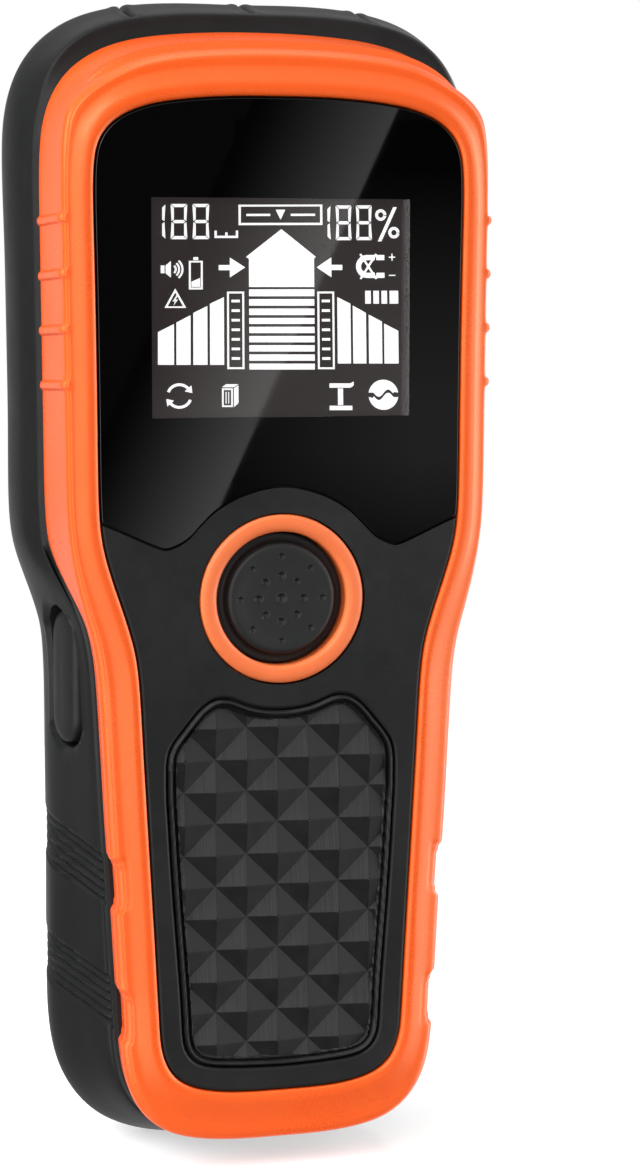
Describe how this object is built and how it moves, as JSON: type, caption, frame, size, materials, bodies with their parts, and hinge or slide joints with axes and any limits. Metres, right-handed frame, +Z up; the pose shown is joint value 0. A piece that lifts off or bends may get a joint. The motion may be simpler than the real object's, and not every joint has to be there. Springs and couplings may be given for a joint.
{
  "type": "stud finder",
  "caption": "Hand-held wall scanner: waisted two-part housing with an overmoulded bumper, display window, round and side push buttons, diamond grip pad and a hinged battery door.",
  "frame": {"origin": "centre of the flat sensing face at the back of the housing, the face that slides on the wall", "axes": "+Z up the length towards the display end, +Y out of the sensing face towards the wall, +X to the right as the display is read"},
  "size_m": [0.068, 0.032, 0.1636],
  "materials": {
    "bumper_rubber": "satin orange soft overmould",
    "housing_plastic": "fine spark-texture charcoal",
    "window_acrylic": "polished, black printed behind, clear over the display",
    "grip_rubber": "moulded diamond pattern, matt",
    "ring_plastic": "satin orange",
    "button_rubber": "matt, moulded dots",
    "label": "satin silver film, blank",
    "lcd_glass": "polished display glass",
    "backlight": "clear light guide with white film",
    "lcd_holder": "natural white",
    "zebra": "silicone strip",
    "circuit_board": "green solder mask",
    "chip": "moulded epoxy",
    "can_metal": "bright tin plate",
    "black_plastic": "moulded",
    "switch_plastic": "moulded",
    "plunger_red": "moulded",
    "plunger_white": "moulded",
    "copper": "enamelled copper wire",
    "ferrite": "sintered",
    "battery_can": "plain metal jacket",
    "stud_metal": "nickel plate",
    "snap_vinyl": "soft vinyl",
    "wire_red": "wire insulation",
    "wire_black": "wire insulation",
    "foam": "open-cell foam",
    "screw_steel": "zinc-plated"
  },
  "bodies": {
    "housing": {"bumper_frame": "bumper_rubber", "front_shell": "housing_plastic", "rear_shell": "housing_plastic", "display_window": "window_acrylic", "grip_pad": "grip_rubber", "button_ring": "ring_plastic", "rating_label": "label", "lcd_panel": "lcd_glass", "lcd_backlight": "backlight", "lcd_frame": "lcd_holder", "zebra_strip": "zebra", "main_board": "circuit_board", "controller_chip": "chip", "memory_chip": "chip", "crystal": "can_metal", "buzzer": "black_plastic", "board_header": "black_plastic", "main_switch_body": "switch_plastic", "side_switch_body": "switch_plastic", "sensor_board": "circuit_board", "analog_chip": "chip", "metal_coil": "copper", "coil_core": "ferrite", "battery_9v": "battery_can", "battery_positive_stud": "stud_metal", "battery_negative_stud": "stud_metal", "battery_snap": "snap_vinyl", "red_wire": "wire_red", "black_wire": "wire_black", "housing_screw_1": "screw_steel", "housing_screw_2": "screw_steel", "housing_screw_3": "screw_steel", "housing_screw_4": "screw_steel", "board_screw_1": "screw_steel", "board_screw_2": "screw_steel", "board_screw_3": "screw_steel", "board_screw_4": "screw_steel", "sensor_screw_1": "screw_steel", "sensor_screw_2": "screw_steel"},
    "scan_button": {"main_button": "button_rubber"},
    "scan_plunger": {"main_switch_plunger": "plunger_red"},
    "mode_button": {"side_button": "button_rubber"},
    "mode_plunger": {"side_switch_plunger": "plunger_white"},
    "door": {"battery_door": "housing_plastic", "battery_foam": "foam"}
  },
  "joints": [
    {"name": "scan_button_press", "type": "slide", "parent": "housing", "child": "scan_button", "axis": [0, 1, 0], "range_m": [0, 0.0008], "stiffness_N_per_m": 600, "springref_m": -0.0005},
    {"name": "scan_plunger_press", "type": "slide", "parent": "housing", "child": "scan_plunger", "axis": [0, 1, 0], "range_m": [0, 0.0008]},
    {"name": "mode_button_press", "type": "slide", "parent": "housing", "child": "mode_button", "axis": [1, 0, 0], "range_m": [0, 0.0008], "stiffness_N_per_m": 600, "springref_m": -0.0005},
    {"name": "mode_plunger_press", "type": "slide", "parent": "housing", "child": "mode_plunger", "axis": [1, 0, 0], "range_m": [0, 0.0008]},
    {"name": "battery_door_hinge", "type": "hinge", "parent": "housing", "child": "door", "pos_m": [0, 0, -0.01725], "axis": [1, 0, 0], "range_deg": [0, 75]}
  ],
  "couplings": [
    {"joint": "scan_plunger_press", "follows": "scan_button_press", "ratio": 1},
    {"joint": "mode_plunger_press", "follows": "mode_button_press", "ratio": 1}
  ]
}
